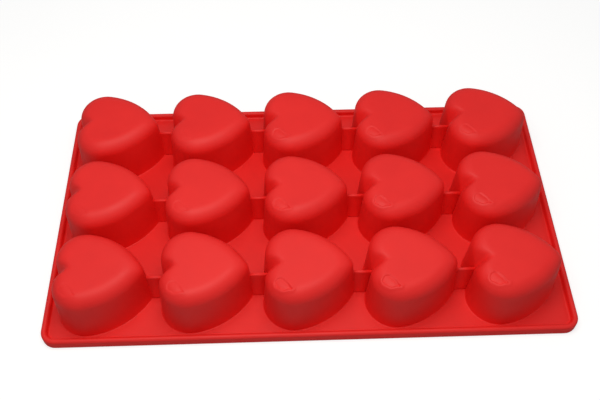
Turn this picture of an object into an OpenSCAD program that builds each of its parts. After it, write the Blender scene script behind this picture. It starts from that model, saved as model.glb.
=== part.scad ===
// Moulded tray of heart-shaped cups, lying on its open side with the closed ends of the cups up.
// One soft piece: a thin flat sheet with a raised rim bead, cups in rows, and thin ribs that
// tie each cup's tip to the cleft of the next. The origin is in the middle of the tray, on the
// table, with the rows of cups along X and the tips of the hearts pointing to +X.

/* [Tray] */
// Overall length of the tray, along the rows of cups
tray_l = 220; // [205:1:260]
// Overall width of the tray, across the rows
tray_w = 123.5; // [120:0.5:160]
// Thickness of the flat sheet that joins the cups
sheet_t = 2.1; // [1.2:0.1:3.5]
// Radius of the tray's outer corners, seen from above
corner_r = 6; // [3:0.5:12]

/* [Rim] */
// Height of the rim bead above the table
rim_h = 4.8; // [3.8:0.1:8]
// Width of the rim bead, whose top is half round
rim_w = 2.4; // [1.6:0.1:3]

/* [Cups] */
// Number of cups in a row
cup_cols = 5; // [1:1:5]
// Number of rows
cup_rows = 3; // [1:1:3]
// Distance from one cup to the next in a row
pitch_x = 42.4; // [41.6:0.1:43]
// Distance from one row to the next
pitch_y = 38.9; // [38.4:0.1:39.5]
// Height of the cups' closed ends above the table
cup_h = 26.2; // [20:0.2:34]
// Thickness of the cups' side walls
wall_t = 1.5; // [1:0.1:2]
// Thickness of the cups' closed ends
end_t = 1.8; // [1:0.1:3]
// Radius that rounds the closed end over into the side wall
end_r = 4.5; // [3:0.1:5]
// How far the side walls and the ribs lean in for each millimetre of height
wall_lean = 0.075; // [0.03:0.005:0.1]

/* [Heart outline] */
// Radius of the two round lobes at the table
lobe_r = 12.8; // [11.5:0.1:13]
// Distance of each lobe's centre from the heart's centre line
lobe_y = 6.2; // [5.2:0.1:6.4]
// Radius of the slightly bowed sides that run from the lobes to the tip
side_r = 32.5; // [29:0.5:45]
// Radius of the rounded tip
tip_r = 2.8; // [2.2:0.1:3.6]
// Distance from the lobes' centres to the tip's centre
tip_x = 23.2; // [21:0.1:23.6]
// Radius of the soft cleft between the lobes
cleft_r = 2.5; // [1.8:0.1:3.5]

/* [Ribs] */
// Thickness of the ribs just under their half round top
rib_t = 1.4; // [1:0.1:2.4]
// Height of the ribs above the table
rib_h = 16.3; // [9:0.1:18]

/* [Hidden] */
$fn = 96;
lean_a = atan(wall_lean);
// Lobes and tip stand this far proud of the sides and the cleft, so that all arcs cross cleanly
proud = 0.015;
// A lobe runs on under its neighbours by this many degrees
run_on = 6;
// The sides' body reaches this far into the lobes, past their centres
reach = 4;
// The cleft's body reaches this share of the way from its own centre to a lobe's centre
cleft_reach = 0.8;
// Planes that trim a body start this far outside the cup
clear = 5;
// The cavities run this far past the underside
through = 1;

// Plan of a heart: each arc meets the next where both run in the same direction.
// The side's circle holds the lobe and the tip, so its centre lies beyond the centre line.
lobe_tip = norm([tip_x, lobe_y]);
to_lobe = side_r - lobe_r;
to_tip = side_r - tip_r;
side_along = (to_lobe ^ 2 - to_tip ^ 2 + lobe_tip ^ 2) / (2 * lobe_tip);
side_across = sqrt(to_lobe ^ 2 - side_along ^ 2);
lobe_c = [0, lobe_y];
tip_c = [tip_x, 0];
side_c = lobe_c + (side_along * [tip_x, -lobe_y] - side_across * [lobe_y, tip_x]) / lobe_tip;
cleft_c = [-sqrt((lobe_r + cleft_r) ^ 2 - lobe_y ^ 2), 0];
cleft_in = cleft_c + cleft_reach * (lobe_c - cleft_c);

// Directions between which a lobe is turned: from where it meets its side to where it meets the cleft
lobe_start = atan2(lobe_c.y - side_c.y, lobe_c.x - side_c.x) - run_on;
lobe_end = 180 + atan2(lobe_c.y, -cleft_c.x) + run_on;

function flip(p) = [p.x, -p.y];
// The point at radius r from the side's centre, on the line from that centre through p
function on_side(p, r) = side_c + r * (p - side_c) / norm(p - side_c);

// Half section of a cup about an upright axis: its wall leans and is rounded over at height h.
// r is the wall's radius at the table, and way is 1 where the cup lies inside it and -1 outside.
module wall_section(r, way, h, round_r, foot) {
    round_x = r - way * (wall_lean * (h - round_r) + round_r / cos(lean_a));
    touch = [round_x + way * round_r * cos(lean_a), h - round_r + round_r * sin(lean_a)];
    back = way > 0 ? min(0, round_x) : r + lobe_r + cleft_r;
    wall = [[r + way * wall_lean * foot, -foot], touch, [round_x, h], [back, h], [back, -foot]];
    intersection() {
        union() {
            polygon(way > 0 ? wall : [for (i = [len(wall) - 1:-1:0]) wall[i]]);
            translate([round_x, h - round_r]) circle(r = round_r + proud);
        }
        translate([0, -foot]) square([2 * side_r, h + foot]);
    }
}

module prism(outline, h, foot) {
    translate([0, 0, -foot]) linear_extrude(h + foot) polygon(outline);
}

// Solid heart with its closed end at height h, its outline drawn in by inset all round
module heart(inset, h, round_r, foot) {
    for (m = [0, 1]) mirror([0, m, 0])
        translate(lobe_c) rotate_extrude(angle = lobe_end - lobe_start, start = lobe_start)
            wall_section(lobe_r - inset + proud, 1, h, round_r, foot);
    translate(tip_c) rotate_extrude() wall_section(tip_r - inset + proud, 1, h, round_r, foot);
    intersection() {
        translate(side_c) rotate_extrude() wall_section(side_r - inset, 1, h, round_r, foot);
        translate(flip(side_c)) rotate_extrude() wall_section(side_r - inset, 1, h, round_r, foot);
        prism([on_side(lobe_c, side_r + clear), on_side(lobe_c, to_lobe + reach), [-reach, lobe_y],
               [-reach, -lobe_y], flip(on_side(lobe_c, to_lobe + reach)),
               flip(on_side(lobe_c, side_r + clear)), flip(on_side(tip_c, side_r + clear)), tip_c,
               on_side(tip_c, side_r + clear)], h, foot);
    }
    intersection() {
        translate(cleft_c) rotate_extrude() wall_section(cleft_r + inset, -1, h, round_r, foot);
        prism([cleft_c, cleft_in, flip(cleft_in)], h, foot);
    }
}

// The rows are centred on the tray, and so are their hearts, from the first lobe to the last tip
heart_l = lobe_r + tip_x + tip_r;
row_l = heart_l + (cup_cols - 1) * pitch_x;
first_cup = [lobe_r - row_l / 2, -(cup_rows - 1) * pitch_y / 2];

module at_cups() {
    for (i = [0:cup_cols - 1]) for (j = [0:cup_rows - 1])
        translate(first_cup + [i * pitch_x, j * pitch_y]) children();
}

// Flat plate with rounded corners
module plate(l, w, r, t) {
    translate([-l / 2 + r, -w / 2, 0]) cube([l - 2 * r, w, t]);
    translate([-l / 2, -w / 2 + r, 0]) cube([l, w - 2 * r, t]);
    for (x = [-1, 1]) for (y = [-1, 1])
        translate([x * (l / 2 - r), y * (w / 2 - r), 0]) cylinder(r = r, h = t);
}

// The sheet ends in the middle of the rim bead, which stands on the table all round
module sheet() {
    plate(tray_l - rim_w, tray_w - rim_w, corner_r - rim_w / 2, sheet_t);
}

module rim_section() {
    bead_r = rim_w / 2;
    square([rim_w, rim_h - bead_r]);
    translate([bead_r, rim_h - bead_r]) circle(r = bead_r);
}

module rim_side(length) {
    rotate([90, 0, 90]) linear_extrude(length) rim_section();
}

module rim() {
    run_l = tray_l - 2 * corner_r;
    run_w = tray_w - 2 * corner_r;
    for (m = [0, 1]) mirror([0, m, 0])
        translate([-run_l / 2, -tray_w / 2, 0]) rim_side(run_l);
    for (m = [0, 1]) mirror([m, 0, 0])
        rotate([0, 0, -90]) translate([-run_w / 2, -tray_l / 2, 0]) rim_side(run_w);
    for (x = [0, 1]) for (y = [0, 1]) mirror([x, 0, 0]) mirror([0, y, 0])
        translate([run_l / 2, run_w / 2, 0]) rotate_extrude(angle = 90)
            translate([corner_r - rim_w, 0]) rim_section();
}

// One rib in each row runs from the first cup to the last, and the cavities cut it through
module ribs() {
    top_r = rib_t / 2;
    top_z = rib_h - top_r;
    foot_w = top_r + wall_lean * top_z;
    for (j = [0:cup_rows - 1]) translate(first_cup + [0, j * pitch_y])
        rotate([90, 0, 90]) linear_extrude((cup_cols - 1) * pitch_x) {
            polygon([[-foot_w, 0], [foot_w, 0], [top_r, top_z], [-top_r, top_z]]);
            translate([0, top_z]) circle(r = top_r);
        }
}

module tray() {
    color("red") difference() {
        union() {
            sheet();
            rim();
            ribs();
            at_cups() heart(0, cup_h, end_r, 0);
        }
        at_cups() heart(wall_t, cup_h - end_t, end_r - wall_t, through);
    }
}

tray();
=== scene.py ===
import math

import bmesh
import bpy
from mathutils import Matrix, Vector


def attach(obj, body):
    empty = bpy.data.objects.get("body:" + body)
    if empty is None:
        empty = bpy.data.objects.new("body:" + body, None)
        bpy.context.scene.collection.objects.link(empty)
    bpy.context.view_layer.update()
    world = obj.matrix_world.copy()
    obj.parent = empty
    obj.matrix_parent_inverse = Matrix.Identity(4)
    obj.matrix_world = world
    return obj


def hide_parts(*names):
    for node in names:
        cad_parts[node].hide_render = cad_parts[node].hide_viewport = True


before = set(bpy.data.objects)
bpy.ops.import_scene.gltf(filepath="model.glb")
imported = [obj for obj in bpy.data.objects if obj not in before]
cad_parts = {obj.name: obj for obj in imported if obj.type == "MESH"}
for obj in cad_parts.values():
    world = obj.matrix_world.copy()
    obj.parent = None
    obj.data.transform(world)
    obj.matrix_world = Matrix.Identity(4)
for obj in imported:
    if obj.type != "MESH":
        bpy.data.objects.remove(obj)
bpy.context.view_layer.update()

# Cups. Fifteen hollow hearts of soft silicone, closed end up, moulded in one with their sheet.
# Each is a nest of heart outlines: a foot that flows out of the sheet, a leaning wall, and a
# pillow-soft crown with a notch behind the cleft and a shallow teardrop pressed in.
mm = 0.001
cup_columns, cup_rows = 5, 3
pitch_x, pitch_y = 42.4, 38.9
cup_h, wall_t, end_t, sheet_t = 26.2, 1.5, 1.8, 2.1
lean = 0.066
crown_h, crown_in = 6.2, 6
foot_r, mouth_r, flat_margin = 0.4, 0.6, 0.1
lobe_r, lobe_y = 12.8, 6.2
side_r = 32.5
tip_r, tip_x = 2.8, 23.2
cleft_r = 2.5
cleft_parts, lobe_parts, side_parts, nose_parts = 6, 18, 12, 6
# As the outline is drawn in, the tip's radius grows, fast at first and then slowly
fast_growth, slow_growth, slow_from = 0.85, 0.35, 1.5
# The notch starts at notch_x and runs out to the cleft: it widens, and falls with the way squared
notch_x, notch_fall = -3.6, 0.18
notch_w, notch_spread, notch_edge = 1.1, 0.6, 1.4
notch_at_wall = 0.45
wall_rings = (0.4, 0.75)
crown_turn = 0.96 * math.pi / 2
flat_rings = (1.2, 2.4, 3.6)
outer_rings, inner_rings = 12, 5
fillet_parts = 4

crown_z = cup_h - crown_h
lobe = Vector((0, lobe_y))
axis = Vector((tip_x, -lobe_y))
to_lobe, to_tip = side_r - lobe_r, side_r - tip_r
along = (to_lobe ** 2 - to_tip ** 2 + axis.length_squared) / (2 * axis.length)
aside = math.sqrt(to_lobe ** 2 - along ** 2)
side = lobe + (along * axis - aside * Vector((lobe_y, tip_x))) / axis.length
cleft = Vector((-math.sqrt((lobe_r + cleft_r) ** 2 - lobe_y ** 2), 0))
row_l = lobe_r + tip_x + tip_r + (cup_columns - 1) * pitch_x
cup_places = [Vector((lobe_r - row_l / 2 + i * pitch_x, (j - (cup_rows - 1) / 2) * pitch_y, 0)) * mm
              for j in range(cup_rows) for i in range(cup_columns)]


def arc(centre, radius, start, end, parts):
    turns = [start + (end - start) * k / parts for k in range(parts)]
    return [centre + radius * Vector((math.cos(t), math.sin(t))) for t in turns]


def share_of(part, whole):
    """How much of the whole the part is, from none to all."""
    return min(1, max(0, part / whole))


def notch(p):
    """How deep the notch behind the cleft is at a point of the crown."""
    out = max(0, notch_x - p.x)
    across = share_of(abs(p.y), notch_spread * out + notch_w)
    return notch_fall * out ** 2 * (0.5 + 0.5 * math.cos(math.pi * across)) ** notch_edge


def heart(inset, z, notched=0.0):
    """One outline of the cup, drawn in from its foot by inset, with a share of the notch sunk in it."""
    nose_r = tip_r - inset if inset < 0 else tip_r + min(fast_growth * inset, slow_from + slow_growth * inset)
    nose = Vector((side.x + math.sqrt((side_r - inset - nose_r) ** 2 - side.y ** 2), 0))
    meet = math.atan2(lobe_y, -cleft.x)
    lobe_turn = math.atan2(lobe.y - side.y, lobe.x - side.x)
    nose_turn = math.atan2(-side.y, nose.x - side.x)
    half = arc(cleft, cleft_r + inset, 0, meet, cleft_parts)
    half += arc(lobe, lobe_r - inset, math.pi + meet, lobe_turn, lobe_parts)
    half += arc(side, side_r - inset, lobe_turn, nose_turn, side_parts)
    half += arc(nose, nose_r, nose_turn, 0, nose_parts) + [nose + Vector((nose_r, 0))]
    whole = half + [Vector((p.x, -p.y)) for p in reversed(half[1:-1])]
    return [Vector((p.x, p.y, z - notched * notch(p))) * mm for p in whole]


tray = bmesh.new()
step = tray.verts.layers.int.new("step")
pressed = tray.verts.layers.float.new("pressed")


def start_ring(points):
    ring = [tray.verts.new(p) for p in points]
    for k, v in enumerate(ring):
        v[step] = k
    return [tray.edges.new((ring[k - 1], v)) for k, v in enumerate(ring)]


def next_ring(edges, points):
    made = bmesh.ops.extrude_edge_only(tray, edges=edges)["geom"]
    ring = {v for v in made if isinstance(v, bmesh.types.BMVert)}
    for v in ring:
        v.co = points[v[step]]
    return [e for e in made if isinstance(e, bmesh.types.BMEdge) and ring.issuperset(e.verts)]


def quarter():
    """What is left of a radius sideways and upwards, at even steps round a quarter turn."""
    turns = [k * math.pi / 2 / fillet_parts for k in range(fillet_parts + 1)]
    return [(1 - math.sin(t), 1 - math.cos(t)) for t in turns]


def foot(inset, z, radius):
    """A flat margin at height z, then a small fillet up into the wall."""
    rings = [heart(inset - radius - flat_margin, z)]
    return rings + [heart(inset - radius * out, z + radius * rise) for out, rise in quarter()]


def cup_skin(foot_rings, wall_in, top, crown_rise, rings):
    """Lofts a cup from its foot up a leaning wall and over its crown, then closes it."""
    edges = start_ring(foot_rings[0])
    for points in foot_rings[1:]:
        edges = next_ring(edges, points)
    wall_top = top - crown_rise
    for share in wall_rings:
        edges = next_ring(edges, heart(wall_in + lean * wall_top * share, wall_top * share))
    start_in = wall_in + lean * wall_top
    reach_in = crown_in + lean * crown_z - start_in
    for k in range(rings + 1):
        turn = crown_turn * k / rings
        inset = start_in + reach_in * (1 - math.cos(turn))
        rise = math.sin(turn)
        notched = notch_at_wall + (1 - notch_at_wall) * rise
        edges = next_ring(edges, heart(inset, wall_top + crown_rise * rise, notched))
    for further in flat_rings:
        edges = next_ring(edges, heart(inset + further, top, 1))
    closing = bmesh.ops.contextual_create(tray, geom=edges)["faces"]
    bmesh.ops.triangulate(tray, faces=closing)


cup_skin(foot(lean * sheet_t, sheet_t, foot_r), 0, cup_h, crown_h, outer_rings)

# The teardrop on the near left lobe is sunk half a millimetre, deepest at its tail, with a soft
# raised lip on its near side. It is faint in the two left columns, and weaker towards the back.
head, head_r = Vector((-5.3, -10.1)), 2.2
tail, tail_r = Vector((-0.9, -12.9)), 0.25
belly, belly_r = Vector((-3.9, -11.6)), 1.7
merge_w = 1.2
drop_deep, tail_deep, tail_from, tail_run = 0.5, 0.2, 2, 2
edge_out, edge_w = 0.1, 0.4
lip_h, lip_out, lip_w, lip_fade = 0.26, 0.75, 0.55, 2.4
patch_out, patch_cuts = 2.1, 3
worn_columns, worn_rows = (0.25, 0.35, 0.95, 1, 0.8), (1, 0.75, 0.5)
spine = tail - head
near_lobe = Vector((0, -lobe_y))


def outside_drop(p):
    """Distance from a point to the teardrop's edge, less than nothing inside it."""
    share = share_of((p - head).dot(spine), spine.length_squared)
    cone = (p - head - share * spine).length - (head_r + (tail_r - head_r) * share)
    round_part = (p - belly).length - belly_r
    merge = max(0, merge_w - abs(cone - round_part))
    return min(cone, round_part) - merge ** 2 / (4 * merge_w)


def crown_at(p):
    """Height of the smooth crown over the near lobe."""
    inset = lobe_r - (p - near_lobe).length
    left = max(0, 1 - (inset - lean * crown_z) / crown_in)
    return crown_z + crown_h * math.sqrt(1 - left ** 2)


def relief(p):
    """How far the teardrop raises the crown at a point, or sinks it."""
    out = outside_drop(p)
    sunk = share_of(edge_out - out, edge_w)
    deep = drop_deep + tail_deep * share_of(p.x - head.x - tail_from, tail_run)
    lip = lip_h * share_of(head.y + lip_fade - p.y, lip_fade)
    return lip * math.exp(-((out - lip_out) / lip_w) ** 2) - deep * sunk ** 2 * (3 - 2 * sunk)


patch = [f for f in tray.faces if f.calc_center_median().z > crown_z * mm
         and outside_drop(f.calc_center_median().xy / mm) < patch_out]
patch_edges = list(dict.fromkeys(e for f in patch for e in f.edges))
fine = bmesh.ops.subdivide_edges(tray, edges=patch_edges, cuts=patch_cuts, use_grid_fill=True)["geom"]
for v in [v for v in fine if isinstance(v, bmesh.types.BMVert)] + [v for f in patch for v in f.verts]:
    p = v.co.xy / mm
    crown = crown_at(p)
    v[pressed] = (min(cup_h, crown + relief(p)) - crown) * mm
    v.co.z = crown * mm
cup_skin(foot(wall_t, 0, mouth_r), wall_t, cup_h - end_t, crown_h - wall_t, inner_rings)

one_cup = tray.verts[:] + tray.edges[:] + tray.faces[:]
for k, cup_place in enumerate(cup_places):
    copy = bmesh.ops.duplicate(tray, geom=one_cup)["geom"]
    worn = worn_columns[k % cup_columns] * worn_rows[k // cup_columns]
    for v in copy:
        if isinstance(v, bmesh.types.BMVert):
            v.co += cup_place + Vector((0, 0, worn * v[pressed]))
bmesh.ops.delete(tray, geom=[v for v in one_cup if isinstance(v, bmesh.types.BMVert)], context="VERTS")

# Sheet and rim. A flat web joins the cups, and a bead with a half round top stands up all
# round its edge. The rim is one section lofted round the tray; the web fills in to the cups.
tray_l, tray_w, corner_r = 220, 123.5, 6
rim_h, rim_w, rim_foot_r, rim_edge = 4.8, 2.4, 0.8, 0.5
edge_margin = 0.4
corner_parts, bead_parts, straight_step = 8, 12, 8
level_within = 0.001


def tray_outline(inset, z):
    """Rounded rectangle at height z, drawn in from the tray's outer edge by inset."""
    x, y = tray_l / 2 - corner_r, tray_w / 2 - corner_r
    corners = [Vector((x, y)), Vector((-x, y)), Vector((-x, -y)), Vector((x, -y))]
    points = []
    for k, corner in enumerate(corners):
        end_turn = (k + 1) * math.pi / 2
        points += arc(corner, corner_r - inset, k * math.pi / 2, end_turn, corner_parts)
        start = corner + Vector((math.cos(end_turn), math.sin(end_turn))) * (corner_r - inset)
        run = corners[(k + 1) % 4] - corner
        parts = round(run.length / straight_step)
        points += [start + run * n / parts for n in range(parts)]
    return [Vector((p.x, p.y, z)) * mm for p in points]


bead_r = rim_w / 2
bead_z = rim_h - bead_r
rim = [(rim_w + rim_foot_r + flat_margin, sheet_t)]
rim += [(rim_w + rim_foot_r * out, sheet_t + rim_foot_r * rise) for out, rise in quarter()]
for k in range(bead_parts + 1):
    turn = math.pi * k / bead_parts
    rim.append((bead_r + bead_r * math.cos(turn), bead_z + bead_r * math.sin(turn)))
rim.append((0, rim_edge + edge_margin))
rim += [(rim_edge * rise, rim_edge * out) for out, rise in quarter()]
rim.append((rim_edge + flat_margin, 0))
edges = start_ring(tray_outline(*rim[0]))
for section_point in rim[1:]:
    edges = next_ring(edges, tray_outline(*section_point))

for z in (sheet_t * mm, 0):
    border = [e for e in tray.edges if e.is_boundary
              and all(abs(v.co.z - z) < level_within * mm for v in e.verts)]
    bmesh.ops.triangle_fill(tray, edges=border, use_beauty=True, normal=(0, 0, 1))
bmesh.ops.recalc_face_normals(tray, faces=tray.faces)
for f in tray.faces:
    f.smooth = True
tray_mesh = bpy.data.meshes.new("tray_shell")
tray.to_mesh(tray_mesh)
tray.free()
tray_shell = bpy.data.objects.new("tray_shell", tray_mesh)
bpy.context.scene.collection.objects.link(tray_shell)
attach(tray_shell, "root")
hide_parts("tray")

# Silicone. Through-coloured red rubber with a matt moulded skin: fine grain, and slow drifts of
# tone and gloss where it has been handled. The whole tray is moulded of it.
deep_red, light_red = (0.80, 0.006, 0.0045, 1), (0.88, 0.011, 0.008, 1)
drift_share, smear_share = 0.7, 0.3
gloss_base, gloss_drift = 0.5, 0.16
grain_h = 0.04

silicone = bpy.data.materials.new("red_silicone")
silicone.use_nodes = True
nodes, links = silicone.node_tree.nodes, silicone.node_tree.links
skin = nodes["Principled BSDF"]
skin.inputs["Specular IOR Level"].default_value = 0.5
on_tray = nodes.new("ShaderNodeTexCoord").outputs["Object"]


def noise(scale, detail):
    node = nodes.new("ShaderNodeTexNoise")
    node.inputs["Scale"].default_value = scale
    node.inputs["Detail"].default_value = detail
    links.new(on_tray, node.inputs["Vector"])
    return node.outputs["Fac"]


def maths(operation, value, other):
    node = nodes.new("ShaderNodeMath")
    node.operation = operation
    links.new(value, node.inputs[0])
    if isinstance(other, float):
        node.inputs[1].default_value = other
    else:
        links.new(other, node.inputs[1])
    return node.outputs[0]


drifts = noise(scale=38, detail=3)
grain = noise(scale=2600, detail=2)
smears = noise(scale=140, detail=4)

tone = nodes.new("ShaderNodeValToRGB")
tone.color_ramp.elements[0].position = 0.3
tone.color_ramp.elements[0].color = deep_red
tone.color_ramp.elements[1].position = 0.72
tone.color_ramp.elements[1].color = light_red
mixed = maths("ADD", maths("MULTIPLY", drifts, drift_share), maths("MULTIPLY", smears, smear_share))
links.new(mixed, tone.inputs["Fac"])
links.new(tone.outputs["Color"], skin.inputs["Base Color"])
links.new(maths("ADD", maths("MULTIPLY", smears, gloss_drift), gloss_base), skin.inputs["Roughness"])

grain_bump = nodes.new("ShaderNodeBump")
grain_bump.inputs["Strength"].default_value = 0.25
grain_bump.inputs["Distance"].default_value = grain_h * mm
links.new(grain, grain_bump.inputs["Height"])
links.new(grain_bump.outputs["Normal"], skin.inputs["Normal"])
tray_mesh.materials.append(silicone)

# Ribs. Four thin webs in each row tie a heart's tip to the cleft of the next, to keep the
# row straight when the soft tray is lifted. They lean like the walls, under a round top.
rib_t, rib_h = 1.4, 16.3
rib_into_tip, rib_into_cleft = 3.5, 2.3
flare_w, flare_h, rib_sunk = 0.5, 0.6, 0.5
rib_top_parts = 8
rib_top = rib_t / 2
rib_z = rib_h - rib_top

ribs = bmesh.new()
section = [(rib_top + lean * rib_z + flare_w, sheet_t - rib_sunk),
           (rib_top + lean * (rib_z - sheet_t), sheet_t + flare_h)]
section += [(p.x, p.y) for p in arc(Vector((0, rib_z)), rib_top, 0, math.pi, rib_top_parts)]
section += [(-rib_top, rib_z)] + [(-y, z) for y, z in reversed(section[:2])]
for row in range(cup_rows):
    for column in range(cup_columns - 1):
        this_cup = row * cup_columns + column
        start = cup_places[this_cup] + Vector((tip_x + tip_r - rib_into_tip, 0, 0)) * mm
        end = cup_places[this_cup + 1] + Vector((cleft.x + cleft_r + rib_into_cleft, 0, 0)) * mm
        face = ribs.faces.new([ribs.verts.new(start + Vector((0, y, z)) * mm) for y, z in section])
        run = bmesh.ops.extrude_face_region(ribs, geom=[face], use_keep_orig=True)["geom"]
        far_end = [v for v in run if isinstance(v, bmesh.types.BMVert)]
        bmesh.ops.translate(ribs, verts=far_end, vec=end - start)
bmesh.ops.recalc_face_normals(ribs, faces=ribs.faces)
for f in ribs.faces:
    f.smooth = len(f.verts) == 4
ribs_mesh = bpy.data.meshes.new("ribs")
ribs.to_mesh(ribs_mesh)
ribs.free()
ribs_mesh.materials.append(silicone)
rib_set = bpy.data.objects.new("ribs", ribs_mesh)
bpy.context.scene.collection.objects.link(rib_set)
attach(rib_set, "root")

# Studio. A plain pale floor under one broad softbox close overhead, in a room that is lightest
# about 30 degrees above the horizon, with the camera where the photograph was taken from.
floor_half, paper_tone, paper_glow = 4, 0.4, 0.72
floor_mesh = bpy.data.meshes.new("floor")
floor_bm = bmesh.new()
bmesh.ops.create_grid(floor_bm, x_segments=1, y_segments=1, size=floor_half)
floor_bm.to_mesh(floor_mesh)
floor_bm.free()
floor = bpy.data.objects.new("floor", floor_mesh)
bpy.context.scene.collection.objects.link(floor)
paper = bpy.data.materials.new("white_paper")
paper.use_nodes = True
paper_nodes, paper_links = paper.node_tree.nodes, paper.node_tree.links
paper_skin = paper_nodes["Principled BSDF"]
paper_skin.inputs["Base Color"].default_value = (paper_tone, paper_tone, paper_tone, 1)
paper_skin.inputs["Roughness"].default_value = 1
paper_skin.inputs["Specular IOR Level"].default_value = 0
paper_skin.inputs["Emission Color"].default_value = (1, 1, 1, 1)
sight = paper_nodes.new("ShaderNodeLightPath")
glow = paper_nodes.new("ShaderNodeMath")
glow.operation = "MULTIPLY"
glow.inputs[1].default_value = paper_glow
paper_links.new(sight.outputs["Is Camera Ray"], glow.inputs[0])
paper_links.new(glow.outputs[0], paper_skin.inputs["Emission Strength"])
floor_mesh.materials.append(paper)

room_light = 0.68
room = bpy.data.worlds.new("room")
room.use_nodes = True
room_nodes, room_links = room.node_tree.nodes, room.node_tree.links
direction = room_nodes.new("ShaderNodeTexCoord")
split = room_nodes.new("ShaderNodeSeparateXYZ")
fade = room_nodes.new("ShaderNodeValToRGB")
fade.color_ramp.elements[0].position = 0.2
fade.color_ramp.elements[0].color = (0.5, 0.5, 0.5, 1)
fade.color_ramp.elements[1].position = 0.85
fade.color_ramp.elements[1].color = (0, 0, 0, 1)
for lightest in (0.45, 0.6):
    fade.color_ramp.elements.new(lightest).color = (1, 1, 1, 1)
room_links.new(direction.outputs["Generated"], split.inputs["Vector"])
room_links.new(split.outputs["Z"], fade.inputs["Fac"])
room_links.new(fade.outputs["Color"], room_nodes["Background"].inputs["Color"])
room_nodes["Background"].inputs["Strength"].default_value = room_light
bpy.context.scene.world = room

lamp = bpy.data.lights.new("overhead", "AREA")
lamp.shape = "SQUARE"
lamp.size = 0.24
lamp.energy = 0.85
lamp.color = (1, 0.985, 0.93)
softbox = bpy.data.objects.new("overhead", lamp)
bpy.context.scene.collection.objects.link(softbox)
softbox.location = (-0.025, -0.05, 0.36)
softbox.visible_camera = False

yaw, pitch, roll = 0.0283, 0.9398, -0.0032
camera_place = Vector((-0.00857, -0.20799, 0.29817))
forward = Vector((math.sin(yaw) * math.cos(pitch), math.cos(yaw) * math.cos(pitch), -math.sin(pitch)))
level = Vector((math.cos(yaw), -math.sin(yaw), 0))
above = level.cross(forward)
right = math.cos(roll) * level + math.sin(roll) * above
up = math.cos(roll) * above - math.sin(roll) * level
lens = bpy.data.cameras.new("camera")
lens.sensor_width = 36
lens.lens = 48.01
lens.clip_start = 0.01
camera = bpy.data.objects.new("camera", lens)
bpy.context.scene.collection.objects.link(camera)
turn = Matrix((right, up, -forward)).transposed().to_4x4()
camera.matrix_world = Matrix.Translation(camera_place) @ turn
bpy.context.scene.camera = camera
bpy.context.scene.view_settings.view_transform = "Standard"
